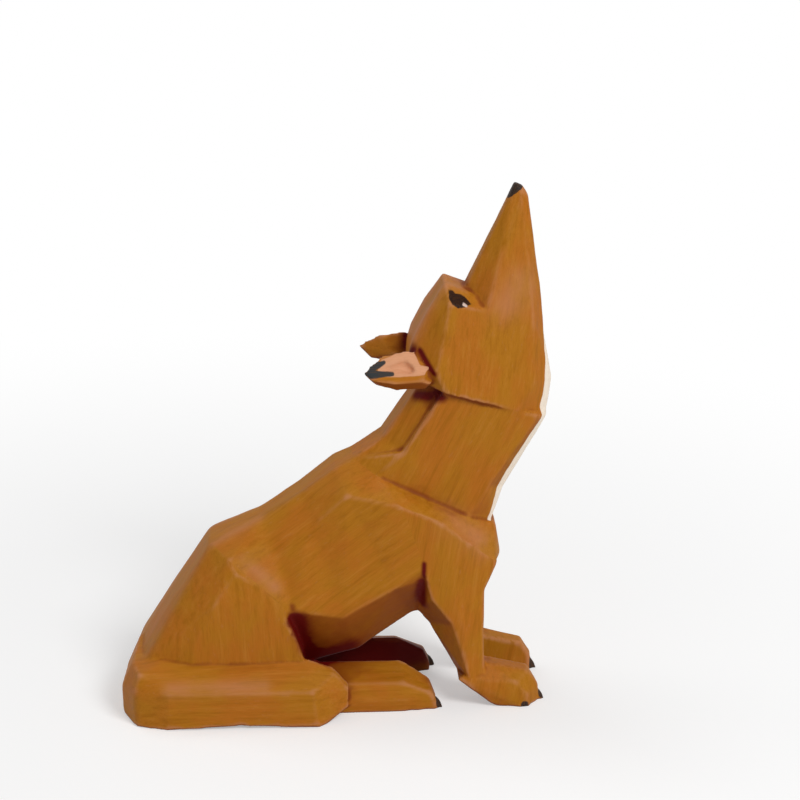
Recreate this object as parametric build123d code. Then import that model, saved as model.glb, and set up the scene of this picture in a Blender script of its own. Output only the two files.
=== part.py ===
"""A sitting fox with its muzzle raised, carved in facets from glued and pinned wooden blanks.

The figure faces +X, its left side is +Y, and it sits on the floor at Z 0. The origin is on the floor in the
median plane, under the middle of the seat. Lengths are in millimetres. Each carved form is the convex hull of
a few hand-chosen corners, and the blanks are parted along flat glue joints, so neighbours meet face to face.
"""
from build123d import *
import os

# The trunk, from the back of the rump to the breast.
torso_length = 77.0
torso_height = 55.0
torso_half_width = 12.6
haunch_half_width = 13.6
core_half_width = 4.2
seat_middle_share = 0.250

# The neck stands on a sloping seat on the shoulders and carries the head on a second one.
neck_half_width = 9.4
neck_rise = 18.1
neck_reach = 10.5

# The head and muzzle, from the jaw up to the tip of the nose.
head_depth = 31.0
head_height = 48.0
head_half_width = 10.5

# Ears, with the round tenons that hold them in the head.
ear_length = 14.0
ear_height = 8.0
ear_width = 6.0
ear_tenon_radius = 1.4
ear_tenon_length = 5.0

# Forepaws, hind feet and their claws.
paw_length = 17.0
paw_height = 11.0
paw_width = 8.4
hind_foot_length = 30.0
hind_foot_height = 8.9
hind_foot_width = 7.8
claw_length = 1.4
claw_width = 2.2
claw_height = 2.4

# The tail comes off the back of the rump and lies along the right side on the floor.
tail_length = 46.6
tail_height = 12.9
tail_width = 6.0

# Round rod that pins the blanks, how far it grips in each, and the film of glue round it.
pin_radius = 2.0
small_pin_radius = 1.3
pin_grip = 5.0
small_pin_grip = 3.5
glue_gap = 0.05

# Corners of the trunk's forms, as shares of its length from the rump, its half width and its height.
hindquarter_shares = [
    (0.002, 0.24, 0.125), (0.002, 0.22, 0.000), (0.037, 0.26, 0.220), (0.118, 0.26, 0.410),
    (0.210, 0.26, 0.616), (0.041, 0.76, 0.208), (0.034, 0.72, 0.000), (0.176, 0.95, 0.305),
    (0.140, 0.97, 0.000), (0.232, 0.95, 0.462), (0.288, 0.87, 0.572), (0.222, 0.38, 0.642),
    (0.272, 0.745, 0.613), (0.357, 0.90, 0.517), (0.411, 0.97, 0.442), (0.439, 1.00, 0.350),
    (0.464, 1.00, 0.236), (0.472, 1.00, 0.000),
]
loin_shares = [
    (0.210, 0.27, 0.618), (0.257, 0.27, 0.670), (0.361, 0.27, 0.735), (0.222, 0.41, 0.644),
    (0.272, 0.80, 0.614), (0.357, 0.97, 0.518), (0.411, 1.04, 0.443), (0.379, 0.63, 0.664),
    (0.439, 0.99, 0.418), (0.500, 0.42, 0.164), (0.390, 0.42, 0.164), (0.300, 0.42, 0.300),
]
barrel_shares = [
    (0.361, 0.27, 0.735), (0.379, 0.63, 0.664), (0.439, 0.99, 0.418), (0.500, 0.42, 0.164),
    (0.468, 0.30, 0.832), (0.490, 0.76, 0.740), (0.571, 0.99, 0.393), (0.615, 0.42, 0.205),
]
chest_shares = [
    (0.468, 0.30, 0.832), (0.490, 0.76, 0.740), (0.571, 0.99, 0.393), (0.615, 0.42, 0.205),
    (0.558, 0.34, 0.930), (0.584, 0.87, 0.862), (0.706, 1.00, 0.498), (0.759, 0.40, 0.345),
]
# The shoulders rise to the neck's seat, whose rear and front ends come first.
neck_seat_shares = ((0.606, 0.963), (0.972, 0.702))
shoulder_shares = [
    (0.558, 0.34, 0.930), (0.584, 0.87, 0.862), (0.706, 1.00, 0.498), (0.759, 0.40, 0.345),
    (0.644, 0.94, 0.850), (0.722, 1.00, 0.826), (0.829, 1.01, 0.760), (0.908, 0.96, 0.666),
    (0.985, 0.68, 0.580), (1.002, 0.32, 0.570), (0.986, 0.32, 0.690), (0.786, 1.00, 0.585),
    (0.946, 0.33, 0.440), (0.830, 0.33, 0.365),
]
# Foreleg from the shoulder to the ankle. Outer corners, then inner ones.
upper_foreleg_shares = [
    (0.740, 1.00, 0.790), (0.829, 1.01, 0.760), (0.908, 0.96, 0.666), (0.985, 0.68, 0.580),
    (0.782, 1.00, 0.620), (0.808, 1.00, 0.451), (0.870, 1.01, 0.430), (0.989, 0.72, 0.572),
    (0.950, 0.84, 0.468), (0.950, 0.34, 0.468), (0.773, 0.40, 0.360), (0.809, 0.40, 0.400),
    (0.985, 0.34, 0.572),
]
middle_foreleg_shares = [
    (0.808, 1.00, 0.451), (0.870, 1.01, 0.430), (0.950, 0.84, 0.468), (0.950, 0.34, 0.468),
    (0.773, 0.40, 0.360), (0.809, 0.40, 0.298), (0.862, 1.00, 0.350), (0.890, 1.01, 0.340),
    (0.948, 0.86, 0.300), (0.948, 0.35, 0.300),
]
lower_foreleg_shares = [
    (0.862, 1.00, 0.350), (0.890, 1.01, 0.340), (0.889, 1.00, 0.240), (0.909, 0.97, 0.118),
    (0.809, 0.40, 0.298), (0.856, 0.40, 0.202), (0.878, 0.41, 0.118), (0.948, 0.86, 0.300),
    (0.948, 0.35, 0.300), (0.953, 0.86, 0.130), (0.953, 0.36, 0.130),
]
# Side outlines of the blanks, as shares of the trunk's length and height.
haunch_blank_shares = [
    (0.222, 0.653), (0.272, 0.612), (0.357, 0.517), (0.411, 0.4425), (0.439, 0.350), (0.464, 0.236),
    (0.472, 0.000), (0.472, -0.200), (-0.200, -0.200), (-0.200, 0.750), (0.190, 0.750),
]
foreleg_blank_shares = [
    (0.766, -0.100), (0.766, 0.340), (0.784, 0.600), (0.730, 0.823), (0.829, 0.760), (0.908, 0.666),
    (0.985, 0.575), (1.300, 0.575), (1.300, -0.100),
]

# Neck corners, as shares of the way along its lower and upper seats and of its half width.
neck_foot_shares = [(0.000, 0.38), (0.155, 0.87), (0.835, 0.80), (1.000, 0.45)]
neck_waist_rise_share = 0.300
neck_waist_shares = [(0.220, 0.90), (0.835, 0.80), (0.950, 0.42)]
neck_top_shares = [(0.230, 0.96), (0.700, 0.88), (0.880, 0.66), (0.948, 0.34)]
nape_foot_shares = [(0.000, 0.38), (0.155, 0.82), (0.500, 0.60)]
nape_waist_shares = [(0.095, 0.36), (0.240, 0.74), (0.500, 0.60)]
nape_top_shares = [(0.115, 0.32), (0.180, 0.62), (0.500, 0.60)]

# Head corners, as shares of its depth from the nape, its half width and its height above the jaw's rear.
jaw_seat_shares = ((0.020, 0.000), (1.000, -0.205))
skull_shares = [
    (0.032, 0.42, 0.105), (0.060, 0.44, 0.165), (0.145, 0.44, 0.274), (0.265, 0.30, 0.396),
    (0.400, 0.22, 0.358), (0.440, 0.50, 0.310), (0.285, 0.72, 0.330), (0.228, 0.92, 0.130),
    (0.190, 1.00, 0.045), (0.260, 1.00, -0.055), (0.500, 0.92, -0.104), (0.730, 0.78, -0.150),
    (0.820, 0.61, -0.090), (0.845, 0.63, -0.030), (0.968, 0.25, -0.040), (0.957, 0.25, -0.145),
    (0.930, 0.28, -0.192), (0.918, 0.25, 0.145), (0.835, 0.58, 0.235), (0.500, 0.72, 0.232),
    (0.020, 0.44, 0.000),
]
muzzle_shares = [
    (0.400, 0.16, 0.362), (0.672, 0.09, 0.735), (0.685, 0.20, 0.670), (0.618, 0.37, 0.515),
    (0.562, 0.58, 0.352), (0.500, 0.72, 0.232), (0.760, 0.18, 0.760), (0.785, 0.30, 0.575),
    (0.815, 0.45, 0.400), (0.835, 0.58, 0.235), (0.805, 0.09, 0.755), (0.822, 0.13, 0.655),
    (0.885, 0.21, 0.372), (0.918, 0.25, 0.145), (0.720, 0.08, 0.806), (0.770, 0.10, 0.790),
    (0.430, 0.50, 0.150), (0.845, 0.50, 0.000),
]

# Ear corners: share of its length back from the head, of its width outward and of its height.
ear_shares = [
    (0.985, 0.56, 0.440), (0.700, 0.20, 0.790), (0.330, 0.10, 0.900), (0.080, 0.35, 0.640),
    (0.130, 0.98, 0.280), (0.550, 0.96, 0.230), (0.850, 0.80, 0.270), (0.000, 0.10, 0.250),
    (0.450, 0.00, 0.260), (0.000, 0.80, 0.160), (0.000, 0.10, 0.800), (0.080, 0.66, -0.010),
    (0.500, 0.60, -0.040), (0.800, 0.50, 0.090),
]
ear_root_shares = (0.160, 0.50, -0.030)
ear_bowl_shares = [
    (0.720, 0.52, 0.470), (0.380, 0.30, 0.580), (0.260, 0.46, 0.400), (0.860, 1.20, 0.800),
    (0.330, 0.60, 1.300), (0.100, 1.40, 0.600), (0.580, 1.60, 0.450),
]
ear_tenon_shares = (0.200, 0.36, 0.480)

# Paw corners: share of its length forward from the ankle, of its width outward and of its height.
ankle_share = 0.878
paw_shares = [
    (0.000, 0.95, 0.600), (0.010, 0.08, 0.600), (0.290, 0.10, 0.235), (0.400, 0.88, 0.080),
    (0.420, 0.12, 0.000), (0.480, 0.86, 0.000), (0.340, 0.62, 0.830), (0.340, 0.12, 0.810),
    (0.875, 0.12, 0.620), (0.885, 0.55, 0.620), (0.720, 0.90, 0.500), (0.985, 0.16, 0.330),
    (1.010, 0.52, 0.310), (0.850, 0.94, 0.230), (0.990, 0.18, 0.000), (1.015, 0.54, 0.000),
    (0.850, 0.96, 0.000),
]
paw_claw_shares = [(1.000, 0.42), (0.795, 0.84)]

# Hind foot corners, in the same way. Its sole starts under the trunk and stands just proud of the haunch.
hind_foot_start_share = 0.442
hind_foot_inset_share = 1.040
hind_foot_shares = [
    (0.000, 0.00, 1.000), (0.000, 0.40, 0.870), (0.000, 0.86, 0.740), (0.000, 0.98, 0.320),
    (0.000, 0.94, 0.000), (0.000, 0.00, 0.000), (0.740, 0.00, 0.970), (0.740, 0.38, 0.840),
    (0.740, 0.84, 0.700), (0.740, 0.96, 0.310), (0.740, 0.92, 0.000), (0.740, 0.00, 0.000),
    (0.930, 0.16, 0.560), (0.930, 0.46, 0.540), (0.940, 0.84, 0.420), (0.975, 0.84, 0.180),
    (0.975, 0.82, 0.000), (0.975, 0.26, 0.180), (0.975, 0.26, 0.000),
]
hind_claw_shares = [(0.970, 0.66)]

# A claw is a wedge, broad at the root and a narrow ridge at its tip.
claw_top_share = 0.50
claw_tip_share = 0.67
claw_tip_height_share = 0.80

# Tail corners in four stretches: share of its length from the rear, of its width out from the haunch
# and of its height.
tail_start_share = -0.023
tail_root_shares = [
    (0.090, -2.75, 0.960), (0.030, -2.75, 0.450), (0.022, -2.75, 0.000), (0.050, -0.75, 0.900),
    (0.004, -0.75, 0.500), (0.006, -0.75, 0.000), (0.080, 0.22, 0.850), (0.060, 0.42, 0.620),
    (0.064, 0.48, 0.000), (0.210, -0.45, 1.000), (0.210, 0.36, 0.820), (0.210, 0.80, 0.610),
    (0.210, 0.84, 0.000), (0.210, -2.75, 0.900), (0.210, -2.75, 0.000),
]
tail_side_shares = [
    (0.210, -0.45, 1.000), (0.210, 0.36, 0.820), (0.210, 0.80, 0.610), (0.210, 0.84, 0.000),
    (0.210, -0.45, 0.000), (0.520, -0.28, 1.000), (0.520, 0.37, 0.825), (0.520, 0.86, 0.610),
    (0.520, 0.90, 0.055), (0.520, -0.28, 0.055),
]
tail_end_shares = [
    (0.520, -0.28, 1.000), (0.520, 0.37, 0.825), (0.520, 0.86, 0.610), (0.520, 0.90, 0.055),
    (0.520, -0.28, 0.055), (0.822, -0.10, 1.000), (0.822, 0.38, 0.830), (0.840, 0.92, 0.610),
    (0.860, 0.96, 0.000), (0.822, -0.10, 0.000),
]
tail_tip_shares = [
    (0.822, -0.10, 1.000), (0.822, 0.38, 0.830), (0.840, 0.92, 0.610), (0.860, 0.96, 0.000),
    (0.822, -0.10, 0.000), (0.930, -0.10, 0.850), (0.940, 0.22, 0.780), (1.000, -0.10, 0.560),
    (1.000, 0.24, 0.520), (1.000, 0.28, 0.210), (1.000, -0.10, 0.150), (0.925, 0.62, 0.120),
    (0.925, -0.10, 0.000), (0.900, 0.70, 0.000),
]

# Pin places, as shares along a seat, or of the lengths and heights of the pieces that they join.
neck_pin_share = 0.500
head_pin_share = 0.500
shoulder_pin_shares = [(0.870, 0.600)]
hip_pin_shares = [(0.220, 0.380), (0.360, 0.220)]
tail_pin_shares = [(0.280, 0.420), (0.640, 0.420)]
hind_foot_pin_shares = (0.077, 0.450, 0.360)


def mirrored(points):
    """The points with their twins across the median plane."""
    return points + [(x, -y, z) for x, y, z in points]


def hull(points):
    """A solid whose corners are the outermost of the points."""
    return Solid(ConvexPolyhedron(points).wrapped)


def trunk_place(x_share, z_share):
    """A place in the median plane, from shares of the trunk's length and height."""
    return Vector((x_share - seat_middle_share) * torso_length, 0, z_share * torso_height)


def trunk_points(shares, half_width):
    """Corners of the trunk, on its left side."""
    places = [(trunk_place(x, z), y * half_width) for x, y, z in shares]
    return [(p.X, y, p.Z) for p, y in places]


def blank(shares):
    """A board of the given side outline, on the left, from the core's glue joint out past the wood."""
    outline = [trunk_place(x, z) for x, z in shares]
    face = Face(Wire.make_polygon([(p.X, core_half_width, p.Z) for p in outline], close=True))
    return Solid.extrude(face, Vector(0, haunch_half_width + tail_width, 0))


def right(shape):
    """The shape's twin on the right side."""
    return shape.mirror(Plane.XZ)


def rod(start, end, radius):
    """A round rod from one point to another."""
    return Solid.make_cylinder(radius, (end - start).length, Plane(origin=start, z_dir=end - start))


def pin_and_hole(centre, direction, reach, radius):
    """A pin that reaches as far to either side of its centre, and the bore that it and its glue fill."""
    along = direction.normalized()
    pin = rod(centre - along * reach, centre + along * reach, radius)
    reach += glue_gap
    return pin, rod(centre - along * reach, centre + along * reach, radius + glue_gap)


def whole(shape):
    """The shape as one solid, or as the group of the solids that it holds."""
    solids = shape.solids()
    return solids[0] if len(solids) == 1 else Compound(solids)


def fused(shapes):
    """The shapes joined into one."""
    return whole(shapes[0].fuse(*shapes[1:]))


# Seats of the neck, as lines in the median plane.
neck_seat = [trunk_place(x, z) for x, z in neck_seat_shares]
head_origin = neck_seat[0] + Vector(neck_reach, 0, neck_rise)
jaw_seat = [head_origin + Vector(x * head_depth, 0, z * head_height) for x, z in jaw_seat_shares]


def seat_points(seat, shares, half_width):
    """Places on a seat, on the left side."""
    places = [(seat[0] + (seat[1] - seat[0]) * along, y * half_width) for along, y in shares]
    return [(p.X, y, p.Z) for p, y in places]


def head_points(shares):
    """Corners of the head, on its left side."""
    return [(head_origin.X + x * head_depth, y * head_half_width, head_origin.Z + z * head_height)
            for x, y, z in shares]


def beyond_seat(seat, above):
    """A block that fills the space above or below a seat."""
    size = torso_length + head_height
    along = (seat[1] - seat[0]).normalized() * size
    rise = Vector(-along.Z, 0, along.X) if above else Vector(along.Z, 0, -along.X)
    corners = [seat[0] - along, seat[1] + along, seat[1] + along + rise, seat[0] - along + rise]
    face = Face(Wire.make_polygon([(p.X, -size, p.Z) for p in corners], close=True))
    return Solid.extrude(face, Vector(0, 2 * size, 0))


def boxed_points(shares, start, lengths):
    """Corners given as shares of three lengths from a starting point."""
    return [tuple(s + share * size for s, share, size in zip(start, corner, lengths)) for corner in shares]


def claw(x, y):
    """A small wedge that stands out of a toe, down to the floor."""
    half = claw_width / 2
    root = x - claw_length / 2
    corners = [
        (root, half, 0), (root, half * claw_top_share, claw_height),
        (x + claw_length, half * claw_tip_share, 0),
        (x + claw_length / 2, 0, claw_height * claw_tip_height_share),
    ]
    return hull([(a, y + b, c) for a, b, c in mirrored(corners)])


def claws(start, lengths, shares):
    """The claws of a foot, each at a share of its length and width."""
    return [claw(start[0] + x * lengths[0], start[1] + y * lengths[1]) for x, y in shares]


# The neck's outlines on its two seats and at its waist.
neck_waist = [low + (high - low) * neck_waist_rise_share for low, high in zip(neck_seat, jaw_seat)]
neck_foot_points = seat_points(neck_seat, neck_foot_shares, neck_half_width)
neck_waist_points = seat_points(neck_waist, neck_waist_shares, neck_half_width)
neck_top_points = seat_points(jaw_seat, neck_top_shares, neck_half_width)
nape_foot_points = seat_points(neck_seat, nape_foot_shares, neck_half_width)
nape_waist_points = seat_points(neck_waist, nape_waist_shares, neck_half_width)
nape_top_points = seat_points(jaw_seat, nape_top_shares, neck_half_width)

# The trunk with both forelegs, as it would be carved from the glued-up block.
hindquarters = hull(mirrored(trunk_points(hindquarter_shares, haunch_half_width)))
trunk_forms = [hull(mirrored(trunk_points(shares, torso_half_width)))
               for shares in (loin_shares, barrel_shares, chest_shares)]
shoulders = hull(mirrored(trunk_points(shoulder_shares, torso_half_width) + neck_foot_points))
above_neck_seat = beyond_seat(neck_seat, True)
trunk = fused([hindquarters] + trunk_forms + [shoulders]).cut(above_neck_seat)

# The left foreleg with its paw and claws. The paw lies in the middle of the leg's board.
leg_shares = (upper_foreleg_shares, middle_foreleg_shares, lower_foreleg_shares)
foreleg_forms = [hull(trunk_points(shares, torso_half_width)) for shares in leg_shares]
paw_inner = core_half_width + (torso_half_width - core_half_width - paw_width) / 2
paw_start = (trunk_place(ankle_share, 0).X, paw_inner, 0)
paw_lengths = (paw_length, paw_width, paw_height)
paw = hull(boxed_points(paw_shares, paw_start, paw_lengths))
foreleg = fused(foreleg_forms + [paw] + claws(paw_start, paw_lengths, paw_claw_shares))

# The blanks are parted from the carved block.
foreleg_blank = blank(foreleg_blank_shares)
haunch_blank = blank(haunch_blank_shares)
carved = fused([trunk, foreleg, right(foreleg)])

foreleg_left = whole(carved.intersect(foreleg_blank))
haunch_left = whole(carved.intersect(haunch_blank))
torso = whole(carved.cut(foreleg_blank, right(foreleg_blank), haunch_blank, right(haunch_blank)))

# The neck: a square-shouldered front and a narrower nape behind it.
neck_storeys = [
    neck_foot_points + neck_waist_points, neck_waist_points + neck_top_points,
    nape_foot_points + nape_waist_points, nape_waist_points + nape_top_points,
]
neck = fused([hull(mirrored(points)) for points in neck_storeys])

# The head, with sockets for the ears' tenons.
below_jaw_seat = beyond_seat(jaw_seat, False)
head_forms = [hull(mirrored(head_points(shares))) for shares in (skull_shares, muzzle_shares)]
head = whole(fused(head_forms).cut(below_jaw_seat))

ear_start = head_points([ear_root_shares])[0]
ear_lengths = (-ear_length, ear_width, ear_height)
ear_form = hull(boxed_points(ear_shares, ear_start, ear_lengths))
ear_bowl = hull(boxed_points(ear_bowl_shares, ear_start, ear_lengths))
tenon_start = Vector(*boxed_points([ear_tenon_shares], ear_start, ear_lengths)[0])
tenon_end = Vector(ear_start[0] + ear_tenon_length, tenon_start.Y, tenon_start.Z)
ear_left = whole(ear_form.cut(head, neck, ear_bowl).fuse(rod(tenon_start, tenon_end, ear_tenon_radius)))
ear_socket = rod(tenon_start, tenon_end + Vector(glue_gap, 0, 0), ear_tenon_radius + glue_gap)
head = whole(head.cut(ear_socket, right(ear_socket)))

# A hind foot comes out from under each haunch.
hind_foot_inner = haunch_half_width - hind_foot_width * hind_foot_inset_share
hind_foot_start = (trunk_place(hind_foot_start_share, 0).X, hind_foot_inner, 0)
hind_foot_lengths = (hind_foot_length, hind_foot_width, hind_foot_height)
hind_foot_form = hull(boxed_points(hind_foot_shares, hind_foot_start, hind_foot_lengths))
hind_claws = claws(hind_foot_start, hind_foot_lengths, hind_claw_shares)
hind_foot_left = whole(fused([hind_foot_form] + hind_claws).cut(haunch_left, torso))

# The tail starts at the back of the rump and turns forward along the right side.
tail_start = (trunk_place(tail_start_share, 0).X, -haunch_half_width, 0)
tail_lengths = (tail_length, -tail_width, tail_height)
tail_stretches = (tail_root_shares, tail_side_shares, tail_end_shares, tail_tip_shares)
tail_form = fused([hull(boxed_points(shares, tail_start, tail_lengths)) for shares in tail_stretches])
tail = whole(tail_form.cut(torso, haunch_left, right(haunch_left), right(hind_foot_left)))


def seat_pin(seat, share):
    """A pin square to a seat of the neck."""
    along = seat[1] - seat[0]
    return pin_and_hole(seat[0] + along * share, Vector(-along.Z, 0, along.X), pin_grip, pin_radius)


def cross_pin(place):
    """A pin from the left limb through the core to the right one."""
    return pin_and_hole(trunk_place(*place), Vector(0, 1, 0), core_half_width + pin_grip, pin_radius)


def tail_pin(x_share, z_share):
    """A small pin from the right haunch into the tail."""
    centre = Vector(tail_start[0] + x_share * tail_length, -haunch_half_width, z_share * tail_height)
    return pin_and_hole(centre, Vector(0, 1, 0), small_pin_grip, small_pin_radius)


# Pins across the glue joints, with the bores that they fill.
neck_pin, neck_bore = seat_pin(neck_seat, neck_pin_share)
head_pin, head_bore = seat_pin(jaw_seat, head_pin_share)
shoulder_pins = [cross_pin(place) for place in shoulder_pin_shares]
hip_pins = [cross_pin(place) for place in hip_pin_shares]
tail_pins = [tail_pin(*place) for place in tail_pin_shares]
foot_pin_centre = boxed_points([hind_foot_pin_shares], hind_foot_start, hind_foot_lengths)[0]
hind_foot_pin, hind_foot_bore = pin_and_hole(
    Vector(*foot_pin_centre), Vector(1, 0, 0), small_pin_grip, small_pin_radius)

shoulder_bores = [bore for pin, bore in shoulder_pins]
hip_bores = [bore for pin, bore in hip_pins]
tail_bores = [bore for pin, bore in tail_pins]
torso = torso.cut(neck_bore, *shoulder_bores, *hip_bores)
neck = neck.cut(neck_bore, head_bore)
head = head.cut(head_bore)
foreleg_left = foreleg_left.cut(*shoulder_bores)
haunch_left = haunch_left.cut(*hip_bores, hind_foot_bore)
haunch_right = right(haunch_left).cut(*tail_bores)
hind_foot_left = hind_foot_left.cut(hind_foot_bore)
tail = tail.cut(*tail_bores)

pieces = {
    "torso": torso,
    "neck": neck,
    "head": head,
    "ear_left": ear_left,
    "ear_right": right(ear_left),
    "foreleg_left": foreleg_left,
    "foreleg_right": right(foreleg_left),
    "haunch_left": haunch_left,
    "haunch_right": haunch_right,
    "hind_foot_left": hind_foot_left,
    "hind_foot_right": right(hind_foot_left),
    "tail": tail,
    "neck_pin": neck_pin,
    "head_pin": head_pin,
    "shoulder_pin": Compound([pin for pin, bore in shoulder_pins]),
    "hip_pins": Compound([pin for pin, bore in hip_pins]),
    "hind_foot_pins": Compound([hind_foot_pin, right(hind_foot_pin)]),
    "tail_pins": Compound([pin for pin, bore in tail_pins]),
}
os.makedirs("parts", exist_ok=True)
for name, piece in pieces.items():
    export_step(whole(piece), f"parts/{name}.step")
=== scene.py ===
"""A sitting wooden fox with its muzzle raised: knife-cut facets under a brushed orange-brown glaze.

The nose, eyes, ears, claws and throat are painted, and the fox sits on a pale floor in soft studio light.

Meshes are worked out in millimetres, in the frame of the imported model, and made in metres.
"""
import math

import bpy
import numpy as np
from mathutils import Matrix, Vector, noise
from mathutils.bvhtree import BVHTree


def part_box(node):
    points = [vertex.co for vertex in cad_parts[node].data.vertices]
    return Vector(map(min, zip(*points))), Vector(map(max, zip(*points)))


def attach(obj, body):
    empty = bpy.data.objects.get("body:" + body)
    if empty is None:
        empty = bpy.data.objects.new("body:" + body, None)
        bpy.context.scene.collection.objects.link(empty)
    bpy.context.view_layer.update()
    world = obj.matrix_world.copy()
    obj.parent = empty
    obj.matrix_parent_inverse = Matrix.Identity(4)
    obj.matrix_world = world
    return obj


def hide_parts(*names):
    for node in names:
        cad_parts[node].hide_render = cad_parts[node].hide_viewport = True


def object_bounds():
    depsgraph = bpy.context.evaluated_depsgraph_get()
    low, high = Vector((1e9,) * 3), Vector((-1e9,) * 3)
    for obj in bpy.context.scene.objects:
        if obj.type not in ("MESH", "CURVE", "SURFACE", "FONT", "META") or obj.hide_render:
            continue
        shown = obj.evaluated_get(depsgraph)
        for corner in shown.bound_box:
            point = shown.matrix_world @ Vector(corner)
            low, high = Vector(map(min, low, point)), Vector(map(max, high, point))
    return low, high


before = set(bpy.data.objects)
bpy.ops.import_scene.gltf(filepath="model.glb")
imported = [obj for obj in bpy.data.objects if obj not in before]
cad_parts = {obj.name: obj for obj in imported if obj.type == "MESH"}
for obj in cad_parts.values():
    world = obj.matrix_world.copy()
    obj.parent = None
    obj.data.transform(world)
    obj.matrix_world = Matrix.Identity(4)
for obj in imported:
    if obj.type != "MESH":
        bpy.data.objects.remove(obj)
cad_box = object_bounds()

MM = 0.001
WHITE = (1.0, 1.0, 1.0, 1.0)
TINY = 1e-12
WELD_DIGITS = 3

# The signs by which lines are mirrored: to both sides of the figure, or not at all.
BOTH_SIDES = ((1, 1, 1), (1, -1, 1))
AS_GIVEN = ((1, 1, 1),)

# The skin: how finely the carved surface is sampled, and how far its edges are softened.
SKIN_VOXEL = 0.34
SOFTEN_ROUNDS = 36
SOFTEN_IN = 0.50
SOFTEN_OUT = 0.515

# Edges that the carver rounded over: the ends of a line along each, and its reach. Then how many rounds of
# softening go there, and how far each one goes.
ROUNDED = [((9.0, -8.0, 36.5), (14.3, -12.2, 24.5), 3.0), ((-1.7, -5.0, 35.6), (-15.2, -9.5, 13.0), 2.2),
           ((-1.7, -5.0, 35.6), (12.0, -3.0, 41.5), 2.0), ((66.0, -4.0, 63.6), (67.2, 0.0, 64.5), 2.6),
           ((21.5, -11.0, 33.0), (23.7, -12.2, 24.5), 3.0), ((16.4, -6.2, 42.9), (19.0, -9.0, 37.0), 2.5),
           ((-18.0, -9.0, 3.0), (-18.0, -9.0, 9.0), 2.5), ((-18.0, -17.0, 3.0), (-15.0, -18.5, 9.0), 2.5),
           ((57.5, -8.0, 33.0), (57.5, 0.0, 32.0), 3.0)]
ROUNDED_ROUNDS = 44
ROUNDED_SHARE = 0.5

# Knife work: gentle hollows and swells, and finer tool marks, as height, spacing and seed. Then how far each
# unit of the seed shifts the pattern.
SWELL = (0.11, 9.0, 11.0)
TOOL_MARK = (0.035, 2.6, 47.0)
SEED_SHIFT = (1.0, 0.37, -0.71)

# The longest edge of a piece's mesh where it shows, and inside its joints. Then the most rounds of halving.
LONGEST = 0.62
FINE_LONGEST = {"head": 0.46, "ear_left": 0.32, "ear_right": 0.32}
JOINT_LONGEST = 3.0
MOST_HALVINGS = 12

# A face may show down to the near depth under the skin, if no other piece lies within the step in front.
# Joint faces stay the joint depth under the skin, and their rims the rim depth.
NEAR_DEPTH = 1.0
COVER_STEP = 0.06
JOINT_DEPTH = 0.25
RIM_DEPTH = 0.02

# The ray that tells what lies inside a piece, and the step by which it leaves a face that it has met.
RAY = Vector((0.137, 0.483, 0.865)).normalized()
RAY_STEP = 1e-4

# What keeps the share of a corner finite for a place that lies on it, and the least agreement with the skin's
# normal that shades a face smooth.
CORNER_SOFTNESS = 1e-4
SMOOTH_LIMIT = 0.2

# Hollows, which darken the glaze with stain and painted shade: the reach of their walls over a point, how
# many directions look for them, from how many places and with which seed, how high over the skin and how
# steeply at least, and how the values spread from there.
OCCLUSION_REACH = 14.0
OCCLUSION_DIRECTIONS = 96
OCCLUSION_PLACES = 14000
OCCLUSION_SEED = 5
OCCLUSION_LIFT = 0.1
OCCLUSION_LEAST_FACING = 0.08
OCCLUSION_SPREADS = 9
OCCLUSION_SPREAD_SHARE = 0.6
OCCLUSION_LEAST_WEIGHT = 1e-6

# How often the bends of the skin are evened out.
BEND_SPREADS = 2

# Which way the brush and the grain run on each piece, always square to Y.
GRAIN = {
    "torso": (0.80, 0.0, 0.60), "neck": (0.42, 0.0, 0.91), "head": (0.14, 0.0, 0.99),
    "ear_left": (-1.0, 0.0, 0.0), "ear_right": (-1.0, 0.0, 0.0),
    "foreleg_left": (0.16, 0.0, 0.99), "foreleg_right": (0.16, 0.0, 0.99),
    "haunch_left": (-0.06, 0.0, 1.0), "haunch_right": (-0.06, 0.0, 1.0),
    "hind_foot_left": (1.0, 0.0, 0.0), "hind_foot_right": (1.0, 0.0, 0.0), "tail": (1.0, 0.0, 0.0),
}

# The rods inside, which stay as they are packed.
PINS = ("neck_pin", "head_pin", "shoulder_pin", "hip_pins", "hind_foot_pins", "tail_pins")


# Mesh arrays, in millimetres.

def node_arrays(name):
    """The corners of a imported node, welded, and its triangles."""
    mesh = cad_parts[name].data
    corners = np.empty(len(mesh.vertices) * 3)
    mesh.vertices.foreach_get("co", corners)
    mesh.calc_loop_triangles()
    triangles = np.empty(len(mesh.loop_triangles) * 3, int)
    mesh.loop_triangles.foreach_get("vertices", triangles)
    welded, index = np.unique(np.round(corners.reshape(-1, 3) / MM, WELD_DIGITS), axis=0, return_inverse=True)
    triangles = index.reshape(-1)[triangles].reshape(-1, 3)
    a, b, c = triangles.T
    return welded, triangles[(a != b) & (b != c) & (c != a)]


def face_normals(points, faces):
    """Unit normals of triangles or of flat quads."""
    across = points[faces[:, 2]] - points[faces[:, 0]]
    other = points[faces[:, -1]] - points[faces[:, 1]]
    if faces.shape[1] == 3:
        across, other = points[faces[:, 1]] - points[faces[:, 0]], across
    normals = np.cross(across, other)
    return normals / np.maximum(np.linalg.norm(normals, axis=1, keepdims=True), TINY)


def summed(index, values, count):
    """Rows of values added up by index."""
    return np.stack([np.bincount(index, column, count) for column in values.T], 1)


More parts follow.
